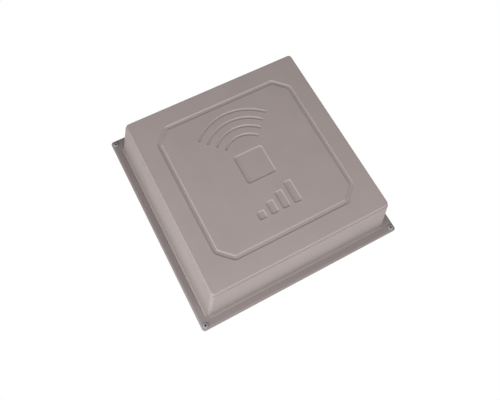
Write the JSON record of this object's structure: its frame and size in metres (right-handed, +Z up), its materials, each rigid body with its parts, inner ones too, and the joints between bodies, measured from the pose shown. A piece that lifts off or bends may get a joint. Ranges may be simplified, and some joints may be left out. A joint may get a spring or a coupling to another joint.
{
  "type": "panel antenna",
  "caption": "Flat square directional panel antenna: riveted formed cover with an octagonal groove and signal arcs, coaxial sockets, and a tilting mast clamp with U-bolt.",
  "frame": {"origin": "on the mast's axis, at the middle of the U-bolt clamp", "axes": "+Z up along the mast, -Y the way the panel faces, +X to the right as the panel is seen from its front"},
  "size_m": [0.3, 0.2247, 0.3],
  "materials": {
    "radome_plastic": "fine-grained warm grey formed plastic",
    "black_rubber": "matte",
    "aluminium_sheet": "mill-finish sheet",
    "rivet_aluminium": "satin",
    "board_laminate": "solder mask",
    "white_nylon": "satin",
    "nickel_plate": "nickel plate",
    "white_ptfe": "waxy",
    "gold_plate": "gold plate",
    "zinc_plated_steel": "bright zinc plate",
    "galvanised_steel": "hot-dip galvanised"
  },
  "bodies": {
    "mast_clamp": {"mast_bracket": "galvanised_steel", "saddle": "galvanised_steel", "pivot_bolt": "zinc_plated_steel", "pivot_washer": "zinc_plated_steel", "pivot_nut": "zinc_plated_steel", "lock_bolt": "zinc_plated_steel", "lock_bolt_washer": "zinc_plated_steel", "u_bolt_washer_left": "zinc_plated_steel", "u_bolt_washer_right": "zinc_plated_steel"},
    "panel": {"radome": "radome_plastic", "flange_gasket": "black_rubber", "connector_seal_left": "black_rubber", "connector_seal_right": "black_rubber", "back_plate": "aluminium_sheet", "driven_patch_top_left": "aluminium_sheet", "driven_patch_top_right": "aluminium_sheet", "driven_patch_bottom_left": "aluminium_sheet", "driven_patch_bottom_right": "aluminium_sheet", "parasitic_patch_top_left": "aluminium_sheet", "parasitic_patch_top_right": "aluminium_sheet", "parasitic_patch_bottom_left": "aluminium_sheet", "parasitic_patch_bottom_right": "aluminium_sheet", "rivet_top_left": "rivet_aluminium", "rivet_top_right": "rivet_aluminium", "rivet_bottom_left": "rivet_aluminium", "rivet_bottom_right": "rivet_aluminium", "feed_board": "board_laminate", "board_spacer_top_left": "white_nylon", "board_spacer_top_right": "white_nylon", "board_spacer_bottom_left": "white_nylon", "board_spacer_bottom_right": "white_nylon", "patch_post_top_left": "white_nylon", "patch_post_top_right": "white_nylon", "patch_post_bottom_left": "white_nylon", "patch_post_bottom_right": "white_nylon", "connector_body_left": "nickel_plate", "connector_body_right": "nickel_plate", "connector_nut_left": "nickel_plate", "connector_nut_right": "nickel_plate", "connector_insulator_left": "white_ptfe", "connector_insulator_right": "white_ptfe", "connector_contact_left": "gold_plate", "connector_contact_right": "gold_plate", "connector_washer_left": "zinc_plated_steel", "connector_washer_right": "zinc_plated_steel", "bracket_stud_top_left": "zinc_plated_steel", "bracket_stud_top_right": "zinc_plated_steel", "bracket_stud_bottom_left": "zinc_plated_steel", "bracket_stud_bottom_right": "zinc_plated_steel", "bracket_nut_top_left": "zinc_plated_steel", "bracket_nut_top_right": "zinc_plated_steel", "bracket_nut_bottom_left": "zinc_plated_steel", "bracket_nut_bottom_right": "zinc_plated_steel", "tilt_bracket": "galvanised_steel"},
    "u_bolt": {"u_bolt": "zinc_plated_steel"},
    "u_bolt_nut_left": {"u_bolt_nut_left": "zinc_plated_steel"},
    "u_bolt_nut_right": {"u_bolt_nut_right": "zinc_plated_steel"},
    "lock_washer": {"lock_washer": "zinc_plated_steel"},
    "wing_nut": {"wing_nut": "zinc_plated_steel"}
  },
  "joints": [
    {"name": "tilt", "type": "hinge", "parent": "mast_clamp", "child": "panel", "pos_m": [0, -0.075, 0.02], "axis": [1, 0, 0], "range_deg": [-25, 25]},
    {"name": "u_bolt_slide", "type": "slide", "parent": "mast_clamp", "child": "u_bolt", "axis": [0, 1, 0], "range_m": [-0.01438, 0.005]},
    {"name": "u_bolt_nut_right_turn", "type": "hinge", "parent": "mast_clamp", "child": "u_bolt_nut_right", "pos_m": [0.031, -0.0512, 0], "axis": [0, -1, 0], "range_deg": [-4141, 1441]},
    {"name": "u_bolt_nut_left_turn", "type": "hinge", "parent": "mast_clamp", "child": "u_bolt_nut_left", "pos_m": [-0.031, -0.0512, 0], "axis": [0, -1, 0], "range_deg": [-4141, 1441]},
    {"name": "lock_washer_slide", "type": "slide", "parent": "mast_clamp", "child": "lock_washer", "axis": [1, 0, 0], "range_m": [0, 0.00375]},
    {"name": "wing_nut_turn", "type": "hinge", "parent": "lock_washer", "child": "wing_nut", "pos_m": [0.0522, -0.075, -0.02], "axis": [1, 0, 0], "range_deg": [0, 1081]}
  ],
  "couplings": [
    {"joint": "u_bolt_nut_right_turn", "follows": "u_bolt_slide", "rad_per_m": 5026.5},
    {"joint": "u_bolt_nut_left_turn", "follows": "u_bolt_slide", "rad_per_m": 5026.5},
    {"joint": "wing_nut_turn", "follows": "lock_washer_slide", "rad_per_m": 5026.5}
  ]
}
